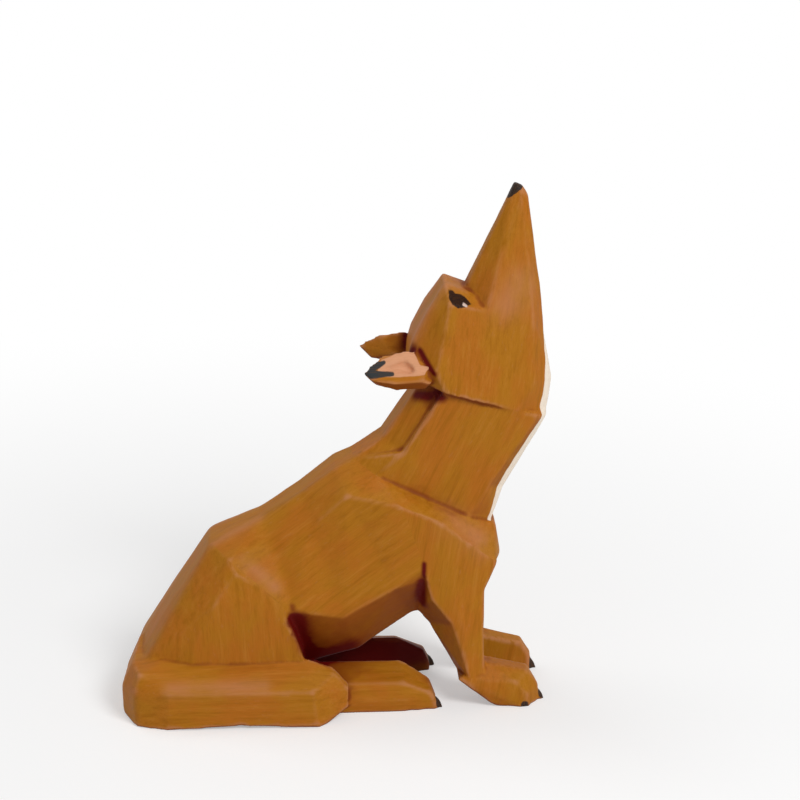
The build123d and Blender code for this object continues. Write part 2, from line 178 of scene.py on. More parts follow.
class Skin:
    """The whole figure's surface in one piece, with a tree for finding places on it."""

    def __init__(self, points, faces):
        self.points = points
        self.faces = faces
        sides = np.concatenate([faces[:, [k, (k + 1) % 4]] for k in range(4)])
        self.edges = np.unique(np.sort(sides, 1), axis=0)
        self.degree = np.bincount(self.edges.ravel(), minlength=len(points)).astype(float)
        self.grow()

    def grow(self):
        """Works out the normals and the tree again after the points have moved."""
        flat = face_normals(self.points, self.faces)
        total = sum(summed(self.faces[:, k], flat, len(self.points)) for k in range(4))
        self.normals = total / np.maximum(np.linalg.norm(total, axis=1, keepdims=True), TINY)
        self.tree = BVHTree.FromPolygons(self.points.tolist(), self.faces.tolist())

    def averaged(self, values):
        """Each point's value replaced by the mean of its neighbours'."""
        a, b = self.edges.T
        total = summed(a, values[b], len(values)) + summed(b, values[a], len(values))
        return total / np.maximum(self.degree, 1)[:, None]

    def nearest(self, places):
        """The skin's nearest point to each place, its normal, and the corners round it with their shares."""
        found = [self.tree.find_nearest(place) for place in places.tolist()]
        spots = np.array([spot[0] for spot in found])
        corners = self.faces[np.array([spot[2] for spot in found])]
        apart = np.linalg.norm(self.points[corners] - spots[:, None], axis=2)
        shares = 1 / (apart ** 2 + CORNER_SOFTNESS)
        shares /= shares.sum(1, keepdims=True)
        normals = (self.normals[corners] * shares[..., None]).sum(1)
        normals /= np.linalg.norm(normals, axis=1, keepdims=True)
        return spots, normals, corners, shares

    def depth(self, places):
        """How far each place lies under the skin."""
        found = [self.tree.find_nearest(place)[:2] for place in places.tolist()]
        pairs = zip(places, found)
        return np.array([(spot - Vector(place)).dot(normal) for place, (spot, normal) in pairs])


class Solid:
    """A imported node, for telling what lies inside it."""

    def __init__(self, name):
        points, faces = node_arrays(name)
        self.low, self.high = points.min(0), points.max(0)
        self.tree = BVHTree.FromPolygons(points.tolist(), faces.tolist())

    def holds(self, place):
        """Whether a place lies inside, from how often a ray out of it meets the faces."""
        crossings = 0
        spot = Vector(place)
        while True:
            spot = self.tree.ray_cast(spot, RAY)[0]
            if spot is None:
                return crossings % 2 == 1
            crossings += 1
            spot = spot + RAY * RAY_STEP


def joined_skin():
    """The pieces grown together into one skin, as if the figure had no glue joints."""
    points, faces, start = [], [], 0
    for name in GRAIN:
        corners, triangles = node_arrays(name)
        points.append(corners)
        faces.append(triangles + start)
        start += len(corners)
    mesh = bpy.data.meshes.new("skin")
    mesh.from_pydata(np.concatenate(points).tolist(), [], np.concatenate(faces).tolist())
    block = bpy.data.objects.new("skin", mesh)
    bpy.context.scene.collection.objects.link(block)
    remesh = block.modifiers.new("remesh", "REMESH")
    remesh.mode = "VOXEL"
    remesh.voxel_size = SKIN_VOXEL
    grown = block.evaluated_get(bpy.context.evaluated_depsgraph_get()).to_mesh()
    corners = np.empty(len(grown.vertices) * 3)
    grown.vertices.foreach_get("co", corners)
    quads = np.empty(len(grown.loops), int)
    grown.loops.foreach_get("vertex_index", quads)
    block.to_mesh_clear()
    bpy.data.objects.remove(block)
    bpy.data.meshes.remove(mesh)
    return outermost(corners.reshape(-1, 3), quads.reshape(-1, 4))


def outermost(points, faces):
    """The largest connected part of a mesh, without any bubbles that the joints leave inside it."""
    label = np.arange(len(points))
    while True:
        lowest = label[faces].min(1)
        before = label.copy()
        for k in range(4):
            np.minimum.at(label, faces[:, k], lowest)
        label = label[label]
        if (label == before).all():
            break
    main = np.bincount(label).argmax()
    kept = label == main
    index = np.cumsum(kept) - 1
    return points[kept], index[faces[kept[faces[:, 0]]]]


def waves(places, height, spacing, seed):
    """Smooth random heights over the places."""
    shift = Vector([seed * share for share in SEED_SHIFT])
    return np.array([noise.noise(Vector(place) / spacing + shift) for place in places.tolist()]) * height


def nearness(points, lines, sides=BOTH_SIDES):
    """1 on any of the lines or of their mirror images, and less away from them."""
    level = np.zeros(len(points))
    for start, end, reach in lines:
        for mirror in sides:
            first, run = np.multiply(start, mirror), np.subtract(end, start) * mirror
            share = np.clip(((points - first) @ run) / max(run @ run, TINY), 0, 1)
            distance = np.linalg.norm(points - first - share[:, None] * run, axis=1)
            level = np.maximum(level, np.exp(-(distance / reach) ** 2))
    return level


def carve(skin):
    """Softens the skin's edges and creases and gives it the swells and tool marks of the knife."""
    for _ in range(SOFTEN_ROUNDS):
        skin.points += SOFTEN_IN * (skin.averaged(skin.points) - skin.points)
        skin.points -= SOFTEN_OUT * (skin.averaged(skin.points) - skin.points)
    share = ROUNDED_SHARE * nearness(skin.points, ROUNDED)[:, None]
    for _ in range(ROUNDED_ROUNDS):
        skin.points += share * (skin.averaged(skin.points) - skin.points)
    skin.grow()
    height = waves(skin.points, *SWELL) + waves(skin.points, *TOOL_MARK)
    skin.points += skin.normals * height[:, None]
    low, high = (np.array(corner) / MM for corner in cad_box)
    skin.points = np.clip(skin.points, low, high)
    skin.grow()


# What the glaze needs to know about the skin.

def bends(skin):
    """How sharply the skin bends, per millimetre: above 0 in a crease and below it on a ridge."""
    bend = ((skin.averaged(skin.points) - skin.points) * skin.normals).sum(1)[:, None]
    for _ in range(BEND_SPREADS):
        bend = skin.averaged(bend)
    return bend[:, 0] / SKIN_VOXEL ** 2


def sphere_directions(count):
    """Evenly spread directions."""
    turn = math.pi * (3 - math.sqrt(5))
    directions = []
    for k in range(count):
        z = 1 - 2 * (k + 0.5) / count
        flat = math.sqrt(1 - z * z)
        directions.append(Vector((flat * math.cos(turn * k), flat * math.sin(turn * k), z)))
    return directions


# The hollows darken the glaze with stain and painted shade.
def hollows(skin):
    """How much of its outlook each point of the skin loses to the walls round it, from 0 to 1."""
    directions = sphere_directions(OCCLUSION_DIRECTIONS)
    rng = np.random.default_rng(OCCLUSION_SEED)
    places = rng.choice(len(skin.points), min(OCCLUSION_PLACES, len(skin.points)), replace=False)
    known = np.zeros((len(skin.points), 2))
    for place in places.tolist():
        normal = Vector(skin.normals[place])
        start = Vector(skin.points[place]) + normal * OCCLUSION_LIFT
        lost = total = 0.0
        for direction in directions:
            facing = direction.dot(normal)
            if facing < OCCLUSION_LEAST_FACING:
                continue
            total += facing
            distance = skin.tree.ray_cast(start, direction, OCCLUSION_REACH)[3]
            if distance is not None:
                lost += facing * math.sqrt(1 - distance / OCCLUSION_REACH)
        known[place] = (lost / total, 1.0)
    for _ in range(OCCLUSION_SPREADS):
        known += OCCLUSION_SPREAD_SHARE * (skin.averaged(known) - known)
    return known[:, 0] / np.maximum(known[:, 1], OCCLUSION_LEAST_WEIGHT)


# The pieces, cut out of the skin along the glue joints.

def halved(points, faces, too_long):
    """Halves the edges that are too long, and the triangles beside them, until none is."""
    for _ in range(MOST_HALVINGS):
        sides = np.sort(np.stack([faces, np.roll(faces, -1, axis=1)], 2), 2).reshape(-1, 2)
        edges, index = np.unique(sides, axis=0, return_inverse=True)
        long = too_long(points[edges[:, 0]], points[edges[:, 1]])
        if not long.any():
            break
        middle = np.where(long, len(points) + np.cumsum(long) - 1, -1)[index.reshape(-1)].reshape(-1, 3)
        points = np.concatenate([points, points[edges[long]].mean(1)])
        count = (middle >= 0).sum(1)
        made = [faces[count == 0]]
        for k in range(3):
            turned, middles = np.roll(faces, -k, axis=1), np.roll(middle, -k, axis=1)
            (a, b, c), (m, n, o) = turned.T, middles.T
            one = (count == 1) & (m >= 0)
            made += [np.stack([a, m, c], 1)[one], np.stack([m, b, c], 1)[one]]
            two = (count == 2) & (m < 0)
            a, b, c, n, o = (column[two] for column in (a, b, c, n, o))
            from_a, from_b = points[a] - points[n], points[b] - points[o]
            first = np.linalg.norm(from_a, axis=1) < np.linalg.norm(from_b, axis=1)
            made += [np.stack([n, c, o], 1), np.stack([a, b, np.where(first, n, o)], 1),
                     np.stack([np.where(first, a, b), n, o], 1)]
        (a, b, c), (m, n, o) = faces[count == 3].T, middle[count == 3].T
        made += [np.stack(triangle, 1) for triangle in ((a, m, o), (m, b, n), (o, n, c), (m, n, o))]
        faces = np.concatenate(made)
    return points, faces


def refined(name, raw_skin):
    """A node's corners and triangles, with small triangles near the skin."""
    fine = FINE_LONGEST.get(name, LONGEST)

    def too_long(starts, ends):
        length = np.linalg.norm(ends - starts, axis=1)
        long = length > JOINT_LONGEST
        maybe = (length > fine) & ~long
        shallowest = raw_skin.depth((starts[maybe] + ends[maybe]) / 2) - length[maybe] / 2
        long[maybe] = length[maybe] > fine + np.maximum(shallowest - NEAR_DEPTH, 0)
        return long

    return halved(*node_arrays(name), too_long)


def covered(places, others):
    """Which places lie inside any of the other solids."""
    hidden = np.zeros(len(places), bool)
    for solid in others:
        close = ((places > solid.low) & (places < solid.high)).all(1) & ~hidden
        hidden[close] = [solid.holds(place) for place in places[close].tolist()]
    return hidden


def fitted(points, faces, others, raw_skin, skin):
    """A piece's points laid on the carved skin where they show, and kept under it inside the joints."""
    flat = face_normals(points, faces)
    shown_face = raw_skin.depth(points[faces].mean(1)) < NEAR_DEPTH
    shown_face[shown_face] = ~covered((points[faces].mean(1) + flat * COVER_STEP)[shown_face], others)
    shown = np.zeros(len(points), bool)
    shown[faces[shown_face]] = True
    outward = sum(summed(faces[:, k], flat, len(points)) for k in range(3))
    outward /= np.maximum(np.linalg.norm(outward, axis=1, keepdims=True), TINY)
    under = shown.copy()
    under[shown] = covered((points + outward * COVER_STEP)[shown], others)

    spots, around, corners, shares = skin.nearest(points)
    depth = ((spots - points) * around).sum(1)
    lifted = points + around * np.minimum(depth - JOINT_DEPTH, 0)[:, None]
    laid = spots - around * (under * RIM_DEPTH)[:, None]
    return np.where(shown[:, None], laid, lifted), shown, shown_face, around, corners, shares


def grain_frame(name):
    """Axes for a piece's brush strokes: along them, across them to the left, and square to both."""
    along = Vector(GRAIN[name]).normalized()
    across = Vector((0, 1, 0))
    return np.array([along, across, along.cross(across)])


def store(mesh, name, values):
    """Keeps one number or three for each corner of a mesh."""
    kind = "FLOAT" if values.ndim == 1 else "FLOAT_VECTOR"
    attribute = mesh.attributes.new(name, kind, "POINT")
    attribute.data.foreach_set("value" if values.ndim == 1 else "vector", values.astype(np.float32).ravel())


def make_piece(name, solids, raw_skin, skin, facts):
    """The visible piece for a node, with what its material needs kept at its corners."""
    points, faces = refined(name, raw_skin)
    others = [solid for other, solid in solids.items() if other != name]
    points, shown, shown_face, around, corners, shares = fitted(points, faces, others, raw_skin, skin)
    flat = face_normals(points, faces)
    mesh = bpy.data.meshes.new(name)
    mesh.from_pydata((points * MM).tolist(), [], faces.tolist())
    mesh.materials.append(None)
    mesh.materials.append(None)
    mesh.polygons.foreach_set("material_index", np.where(shown[faces].any(1), 0, 1).astype(np.int32))
    mesh.polygons.foreach_set("use_smooth", np.ones(len(faces), bool))
    smooth = shown[faces] & shown_face[:, None] & ((flat[:, None] * around[faces]).sum(2) > SMOOTH_LIMIT)
    loop_normals = np.where(smooth[..., None], around[faces], flat[:, None])
    mesh.normals_split_custom_set(loop_normals.reshape(-1, 3).tolist())
    for fact, values in facts.items():
        store(mesh, fact, (values[corners] * shares).sum(1))
    store(mesh, "grain", points @ grain_frame(name).T)
    for mark, depth in marks(name, points, around).items():
        store(mesh, mark, depth)
    piece = bpy.data.objects.new(name + "_carved", mesh)
    bpy.context.scene.collection.objects.link(piece)
    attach(piece, "root")
    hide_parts(name)
    return piece


# Painted marks, each as the depth of a point inside it, in millimetres.

def node_low(name):
    """The lowest corner of a node's box."""
    return np.array(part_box(name)[0]) / MM


def node_high(name):
    """The highest corner of a node's box."""
    return np.array(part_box(name)[1]) / MM


def away_from(points, starts, ends):
    """Distance of flat points from the nearest of some flat segments."""
    along = ends - starts
    length = np.maximum((along ** 2).sum(1), TINY)
    nearest = np.full(len(points), np.inf)
    for start, run, squared in zip(starts, along, length):
        share = np.clip(((points - start) @ run) / squared, 0, 1)
        nearest = np.minimum(nearest, np.linalg.norm(points - start - share[:, None] * run, axis=1))
    return nearest


def inside_depth(points, outline):
    """How deep flat points lie inside a closed outline, below 0 outside it."""
    outline = np.array(outline)
    ends = np.roll(outline, -1, axis=0)
    distance = away_from(points, outline, ends)
    crossings = np.zeros(len(points), int)
    for (x0, y0), (x1, y1) in zip(outline, ends):
        if y0 == y1:
            continue
        level = (points[:, 1] >= min(y0, y1)) & (points[:, 1] < max(y0, y1))
        crossings += level & (points[:, 0] < x0 + (points[:, 1] - y0) * (x1 - x0) / (y1 - y0))
    return np.where(crossings % 2 == 1, distance, -distance)


def stroke_depth(points, start, end, start_half, end_half):
    """How deep flat points lie inside a brush stroke that tapers from one half width to another."""
    start, end = np.array(start), np.array(end)
    run = end - start
    share = np.clip(((points - start) @ run) / (run @ run), 0, 1)
    distance = np.linalg.norm(points - start - share[:, None] * run, axis=1)
    return start_half + (end_half - start_half) * share - distance


# The eye, seen from the side: places along X and Z from the lowest corner of the head.
EYE_OUTLINE = [(8.15, 27.05), (9.05, 26.80), (9.45, 26.30), (10.65, 26.12), (11.60, 25.45), (12.60, 24.45),
               (11.60, 24.20), (10.60, 24.05), (9.80, 24.05), (8.70, 24.80), (8.10, 25.70)]
EYE_GLINT = ((11.00, 24.62), (11.60, 24.30), 0.24, 0.20)
EYE_SIDE = 2.0

# The black of the nose lies above a line over the tip of the muzzle.
NOSE_LINE = ((20.40, 44.90), (23.30, 47.05))

# The cream throat: its half width at a few heights, and the line that keeps it to the front of the neck.
THROAT_HEIGHTS = (38.0, 50.0, 58.0, 63.0, 70.0, 75.0, 80.0, 84.0, 88.0)
THROAT_HALF_WIDTHS = (4.8, 5.6, 5.6, 4.4, 4.2, 3.6, 2.5, 0.9, -2.0)
THROAT_FRONT = ((45.0, 38.0), (60.0, 88.0))

# The ear, seen from the side, from its lowest corner: pink where it faces up and out, and dark strokes.
EAR_PINK = [(2.60, 3.25), (3.90, 5.95), (8.60, 7.40), (10.30, 7.50), (11.60, 5.10), (13.60, 4.70),
            (12.50, 3.55), (7.50, 3.25)]
EAR_FACE = (0.0, 0.69, 0.72)
EAR_FACE_LIMIT = 0.30
EAR_EDGE_SHARPNESS = 2
EAR_TIP_STROKES = [((0.30, 4.05), (4.45, 5.55), 1.05, 0.30), ((1.60, 3.60), (6.10, 3.66), 0.75, 0.24)]

# Claws, as the middle and the reach of each dark dab, from the highest X and the middle Y of the node.
PAW_CLAWS = [((-0.70, -1.10, 1.10), 1.45), ((-4.45, 3.45, 0.50), 0.85)]
HIND_CLAWS = [((-0.80, 1.20, 1.10), 1.50)]

# Where the glaze is pale and clouded and carries a painted sheen, where dark stain and painted shade run
# along a line, where they pool in the hollows beside one, and where a painted shadow over stain darkens the
# inner side of the left hind foot only: the ends of each line, and its reach.
MILKY_SHEEN = [((58.3, -5.5, 85.8), (61.5, -5.5, 90.0), 3.4), ((46.0, -3.8, 89.6), (49.0, -2.0, 88.9), 1.8),
         ((46.0, -9.0, 41.0), (53.5, -9.5, 36.0), 3.0), ((-11.0, -17.6, 8.7), (8.0, -17.8, 8.9), 1.5),
         ((5.0, -9.5, 33.2), (10.9, -11.7, 28.1), 1.4), ((45.5, -3.3, 88.5), (39.6, -4.0, 78.0), 1.5),
         ((-1.7, -5.0, 36.0), (8.0, -3.0, 40.5), 1.3)]
# Stain and painted shade run along these lines.
RUN_IN_STAIN_AND_SHADE = [((40.6, -3.6, 66.2), (45.0, -8.6, 67.6), 1.25), ((40.8, -6.4, 76.8), (43.3, -10.0, 73.0), 0.70),
          ((41.3, -12.8, 33.0), (41.2, -12.2, 27.0), 0.50), ((14.4, -12.8, 24.4), (15.6, -13.4, 17.0), 0.70),
          ((39.2, 5.4, 76.4), (39.2, 5.9, 73.6), 1.50)]
# Stain and painted shade pool beside these lines, as far as the hollows allow.
POOLED_STAIN_AND_SHADE = [((41.0, -11.0, 29.0), (41.0, -8.5, 22.5), 1.8), ((15.0, -12.4, 21.5), (17.0, -8.5, 11.5), 3.2),
          ((19.0, -4.0, 10.5), (26.0, -5.0, 13.0), 3.6)]
# A painted shadow, over stain, on the inner side of the left hind foot only.
FAR_FOOT_SHADOW = [((22.0, 4.0, 6.0), (45.0, 4.5, 4.5), 5.6)]
POOLED_SHADE_HOLLOW = (0.0, 0.10)


def line_side(points, start, end):
    """How far flat points lie to the left of a line."""
    run = np.array(end) - np.array(start)
    apart = points - np.array(start)
    return (run[0] * apart[:, 1] - run[1] * apart[:, 0]) / np.hypot(*run)


def head_marks(points):
    """The eyes with their glints, the nose and the throat."""
    low = node_low("head")
    side = points[:, [0, 2]] - low[[0, 2]]
    beside = np.abs(points[:, 1]) - EYE_SIDE
    return {
        "eye": np.minimum(inside_depth(side, EYE_OUTLINE), beside),
        "glint": np.minimum(stroke_depth(side, *EYE_GLINT), beside),
        "nose": line_side(side, *NOSE_LINE),
        "throat": throat_depth(points),
    }


def throat_depth(points):
    """How deep points lie inside the cream strip down the front of the muzzle and neck."""
    half_width = np.interp(points[:, 2], THROAT_HEIGHTS, THROAT_HALF_WIDTHS)
    ahead = -line_side(points[:, [0, 2]], *THROAT_FRONT)
    return np.minimum(half_width - np.abs(points[:, 1]), ahead)


def ear_marks(points, normals, node):
    """The pink of an ear, and the dark strokes on its outer side."""
    side = points[:, [0, 2]] - node_low(node)[[0, 2]]
    outward = np.sign(node_high(node)[1] + node_low(node)[1])
    facing = normals @ (np.array(EAR_FACE) * (1, outward, 1))
    strokes = np.max([stroke_depth(side, *stroke) for stroke in EAR_TIP_STROKES], axis=0)
    return {
        "pink": np.minimum(inside_depth(side, EAR_PINK), (facing - EAR_FACE_LIMIT) * EAR_EDGE_SHARPNESS),
        "stroke": np.minimum(strokes, normals[:, 1] * outward * EAR_EDGE_SHARPNESS),
    }


def claw_marks(points, node, claws):
    """The claws of a paw or of a hind foot."""
    low, high = node_low(node), node_high(node)
    outward = np.sign(low[1] + high[1])
    start = np.array([high[0], (low[1] + high[1]) / 2, 0])
    middles = [start + np.array(place) * (1, outward, 1) for place, _ in claws]
    depths = [reach - np.linalg.norm(points - middle, axis=1) for middle, (_, reach) in zip(middles, claws)]
    return {"claw": np.max(depths, axis=0)}


def marks(node, points, normals):
    """The painted marks of a piece."""
    if node == "head":
        return head_marks(points)
    if node == "neck":
        return {"throat": throat_depth(points)}
    if node.startswith("ear"):
        return ear_marks(points, normals, node)
    if node.startswith("foreleg"):
        return claw_marks(points, node, PAW_CLAWS)
    if node.startswith("hind_foot"):
        return claw_marks(points, node, HIND_CLAWS)
    return {}


# Materials. Lengths inside them are those of the grain attribute, in millimetres.

def linear(red, green, blue):
    """A colour as written for the screen, 0 to 255, made linear."""
    shares = [value / 255 for value in (red, green, blue)]
    return tuple(v / 12.92 if v <= 0.04045 else ((v + 0.055) / 1.055) ** 2.4 for v in shares) + (1.0,)


GLAZE = linear(172, 110, 20)
GLAZE_DEEP = linear(152, 92, 4)
GLAZE_LIGHT = linear(186, 120, 42)
GLAZE_RED = linear(176, 103, 24)
# Rubbed glaze, which also paints the sheen and highlights of ridges and pale patches.
GLAZE_WORN_AND_SHEEN = linear(194, 133, 98)
# Stain colours, which also paint the shade in creases, hollows, undersides and along the listed lines.
STAIN_SHADE = linear(92, 6, 2)
STAIN_SHADE_WARM = linear(126, 58, 6)
BARE_WOOD = linear(206, 178, 138)
BARE_RING = linear(178, 142, 98)
BARE_FIBRE = linear(142, 106, 66)

# Paints, with the softness of their edges.
PAINTS = {
    "throat": (linear(246, 232, 214), 0.10), "pink": (linear(216, 156, 118), 0.12),
    "stroke": (linear(48, 52, 54), 0.10), "nose": (linear(38, 32, 30), 0.10),
    "eye": (linear(22, 6, 4), 0.12), "glint": (linear(214, 190, 178), 0.10),
    "claw": (linear(52, 40, 34), 0.16),
}

# The patterns in the glaze and in bare wood.
STREAKS = {"scale": 0.95, "detail": 4, "roughness": 0.62, "stretch": 16, "distortion": 0.3}
FIBRES = {"scale": 5.2, "detail": 3, "roughness": 0.6, "stretch": 14}
CLOUDS = {"scale": 0.16, "detail": 3, "roughness": 0.55, "stretch": 1.8}
SPECKS = {"scale": 1.5, "detail": 4, "roughness": 0.65, "stretch": 2.5}
BARE_RINGS = {"scale": 0.5, "detail": 3, "roughness": 0.5, "stretch": 8}
BARE_FIBRES = {"scale": 3.0, "detail": 3, "roughness": 0.6, "stretch": 10}

# Layers: the value at which each starts to show, the one at which it is full, and the most that it covers.
RED_CLOUD = (0.36, 0.66, 1.0)
LIGHT_STREAK = (0.50, 0.74, 0.55)
DEEP_STREAK = (0.50, 0.30, 0.60)
DEEP_FIBRE = (0.52, 0.36, 0.30)
WORN_SPECK = (0.58, 0.76, 0.16)
# Ridges are lightened by rubbing and by a painted highlight.
RIDGE_WEAR_HIGHLIGHT = (-0.03, -0.22, 0.50)
RIDGE_WEAR_HIGHLIGHT_STREAK = (0.25, 0.60, 1.0)
# Painted sheen, on pale patches of glaze.
MILKY_SHEEN_CLOUD = (0.20, 0.60, 0.38)
# Creases are darkened by stain and by painted shade.
CREASE = (0.05, 0.20, 0.95)
# Painted shade on faces that look down.
UNDERSIDE_SHADE = (0.14, 0.62, 0.85)
# Hollows are darkened, warm and then dark, by stain and painted shade.
WARM_HOLLOW = (0.12, 0.36, 0.80)
DARK_HOLLOW = (0.34, 0.58, 1.0)
# Stain and painted shade along the listed lines, warm and then dark.
WARM_STAIN_SHADE = (0.05, 0.45, 0.70)
DARK_STAIN_SHADE = (0.30, 0.85, 1.0)
FIBRE_IN_PAINT = (0.40, 0.70, 0.16)
BARE_RING_LAYER = (0.35, 0.65, 1.0)
BARE_FIBRE_LAYER = (0.55, 0.35, 0.40)

# How much of a pattern's ups and downs is added where a layer or a paint ends.
NOISE_MIDDLE = 0.5
CREASE_UNEVEN = 0.04
UNDERSIDE_SHADE_UNEVEN = 0.20
HOLLOW_UNEVEN = 0.25
STAIN_SHADE_UNEVEN = 0.25
PAINT_UNEVEN = 0.30

# Surfaces: roughness as a share of a pattern and a least value, the relief of brush and fibres, and gloss.
GLAZE_ROUGHNESS = (0.24, 0.44)
GLAZE_RELIEF_SHARES = (0.6, 0.4)
GLAZE_RELIEF = {"Strength": 0.35, "Distance": 0.00012}
GLAZE_GLOSS = 0.12
BARE_ROUGHNESS = (0.2, 0.62)
BARE_RELIEF = {"Strength": 0.3, "Distance": 0.0001}

# The marks that each look carries, and the look of each kind of piece. The others are plain.
PLAIN_LOOK = "glazed_body"
LOOKS = {
    "glazed_head": ("throat", "nose", "eye", "glint"), "glazed_neck": ("throat",),
    "glazed_ear": ("pink", "stroke"), "glazed_foot": ("claw",), PLAIN_LOOK: (),
}
LOOK_OF_KIND = {
    "head": "glazed_head", "neck": "glazed_neck", "ear": "glazed_ear", "foreleg": "glazed_foot",
    "hind": "glazed_foot",
}


class Nodes:
    """Adds shader nodes to a material and links them."""

    def __init__(self, name):
        self.material = bpy.data.materials.new(name)
        self.material.use_nodes = True
        self.tree = self.material.node_tree
        self.shader = self.tree.nodes["Principled BSDF"]

    def add(self, kind, sockets=None, output=0, **settings):
        """A node's output. Sockets maps an input to a value or to another node's output."""
        node = self.tree.nodes.new("ShaderNode" + kind)
        for key, value in settings.items():
            setattr(node, key, value)
        for key, value in (sockets or {}).items():
            self.put(node.inputs[key], value)
        return node.outputs[output]

    def put(self, socket, value):
        """Links another node's output to a socket, or sets the socket to a value."""
        if isinstance(value, bpy.types.NodeSocket):
            self.tree.links.new(value, socket)
        else:
            socket.default_value = value

    def math(self, operation, *values, clamp=False):
        return self.add("Math", dict(enumerate(values)), operation=operation, use_clamp=clamp)

    def ramp(self, value, low, high):
        """0 at the low value and 1 at the high one, with soft ends."""
        return self.add("MapRange", {0: value, 1: low, 2: high}, interpolation_type="SMOOTHSTEP")

    def layer(self, value, start, full, most):
        """How much a layer covers at a value."""
        return self.math("MULTIPLY", self.ramp(value, start, full), most)

    def uneven(self, value, pattern, amount):
        """A value with some of a pattern's ups and downs added."""
        return self.math("MULTIPLY_ADD", self.math("SUBTRACT", pattern, NOISE_MIDDLE), amount, value)

    def mix(self, factor, a, b):
        """Colour a, turned into colour b as far as the factor says. Sockets 6 and 7 take the colours."""
        return self.add("Mix", {0: factor, 6: a, 7: b}, output=2, data_type="RGBA")

    def attribute(self, name, output="Fac"):
        return self.add("Attribute", output=output, attribute_name=name)

    def noise(self, vector, scale, detail, roughness, stretch, distortion=0.0):
        """Noise over a vector, stretched along its first axis."""
        sockets = {"Vector": vector, "Scale": (1 / stretch, 1, 1)}
        stretched = self.add("Mapping", sockets, vector_type="POINT")
        sockets = {"Vector": stretched, "Scale": scale, "Detail": detail, "Roughness": roughness}
        return self.add("TexNoise", {**sockets, "Distortion": distortion})

    def finish(self, colour, roughness, height, relief):
        """Gives the surface its colour, its roughness and a relief."""
        self.put(self.shader.inputs["Base Color"], colour)
        self.put(self.shader.inputs["Roughness"], roughness)
        self.put(self.shader.inputs["Normal"], self.add("Bump", {"Height": height, **relief}))
        return self.material


def glazed_wood(name, painted):
    """Brushed glaze over wood: grain streaks, rubbed ridges with painted highlights, stain and painted shade
    in hollows, and paint.
    """
    n = Nodes(name)
    grain = n.attribute("grain", "Vector")
    streaks, fibres = n.noise(grain, **STREAKS), n.noise(grain, **FIBRES)
    clouds, specks = n.noise(grain, **CLOUDS), n.noise(grain, **SPECKS)

    colour = brushed(n, streaks, fibres, clouds, specks)
    colour = wear_and_sheen(n, colour, streaks, clouds)
    colour = stained_and_shaded(n, colour, clouds, specks)
    for mark in painted:
        paint, soft = PAINTS[mark]
        cover = n.ramp(n.uneven(n.attribute(mark), specks, PAINT_UNEVEN), -soft, soft)
        colour = n.mix(cover, colour, n.mix(n.layer(fibres, *FIBRE_IN_PAINT), paint, GLAZE_DEEP))

    streak_share, fibre_share = GLAZE_RELIEF_SHARES
    height = n.math("MULTIPLY_ADD", streaks, streak_share, n.math("MULTIPLY", fibres, fibre_share))
    n.shader.inputs["Specular IOR Level"].default_value = GLAZE_GLOSS
    return n.finish(colour, n.math("MULTIPLY_ADD", streaks, *GLAZE_ROUGHNESS), height, GLAZE_RELIEF)


def brushed(n, streaks, fibres, clouds, specks):
    """The colour of the glaze as the brush leaves it."""
    colour = n.mix(n.layer(clouds, *RED_CLOUD), GLAZE, GLAZE_RED)
    colour = n.mix(n.layer(streaks, *LIGHT_STREAK), colour, GLAZE_LIGHT)
    colour = n.mix(n.layer(streaks, *DEEP_STREAK), colour, GLAZE_DEEP)
    colour = n.mix(n.layer(fibres, *DEEP_FIBRE), colour, GLAZE_DEEP)
    return n.mix(n.layer(specks, *WORN_SPECK), colour, GLAZE_WORN_AND_SHEEN)


def wear_and_sheen(n, colour, streaks, clouds):
    """The colour with the ridges rubbed and given a painted highlight, and pale patches of glaze with a
    painted sheen.
    """
    # Ridges lightened by rubbing and by a painted highlight.
    ridge = n.layer(n.attribute("bend"), *RIDGE_WEAR_HIGHLIGHT)
    colour = n.mix(n.math("MULTIPLY", ridge, n.layer(streaks, *RIDGE_WEAR_HIGHLIGHT_STREAK)), colour, GLAZE_WORN_AND_SHEEN)
    # Pale patches of glaze that carry a painted sheen.
    milky_sheen = n.math("MULTIPLY", n.attribute("milky_sheen"), n.layer(clouds, *MILKY_SHEEN_CLOUD))
    return n.mix(milky_sheen, colour, GLAZE_WORN_AND_SHEEN)


def stained_and_shaded(n, colour, clouds, specks):
    """The colour with stain and painted shade in creases, hollows and along lines, and painted shade on
    undersides.
    """
    bend = n.uneven(n.attribute("bend"), specks, CREASE_UNEVEN)
    down = n.uneven(n.attribute("down"), specks, UNDERSIDE_SHADE_UNEVEN)
    hollow = n.uneven(n.attribute("hollow"), clouds, HOLLOW_UNEVEN)
    run_in_shade = n.uneven(n.attribute("stained_and_shaded"), specks, STAIN_SHADE_UNEVEN)
    # Creases darkened by stain and by painted shade.
    colour = n.mix(n.layer(bend, *CREASE), colour, STAIN_SHADE_WARM)
    # Painted shade on faces that look down.
    colour = n.mix(n.layer(down, *UNDERSIDE_SHADE), colour, STAIN_SHADE_WARM)
    # Hollows darkened by stain and painted shade, warm and then dark.
    colour = n.mix(n.layer(hollow, *WARM_HOLLOW), colour, STAIN_SHADE_WARM)
    # Stain and painted shade along the listed lines, warm and then dark.
    colour = n.mix(n.layer(run_in_shade, *WARM_STAIN_SHADE), colour, STAIN_SHADE_WARM)
    dark = n.math("ADD", n.layer(hollow, *DARK_HOLLOW), n.layer(run_in_shade, *DARK_STAIN_SHADE), clamp=True)
    return n.mix(dark, colour, STAIN_SHADE)


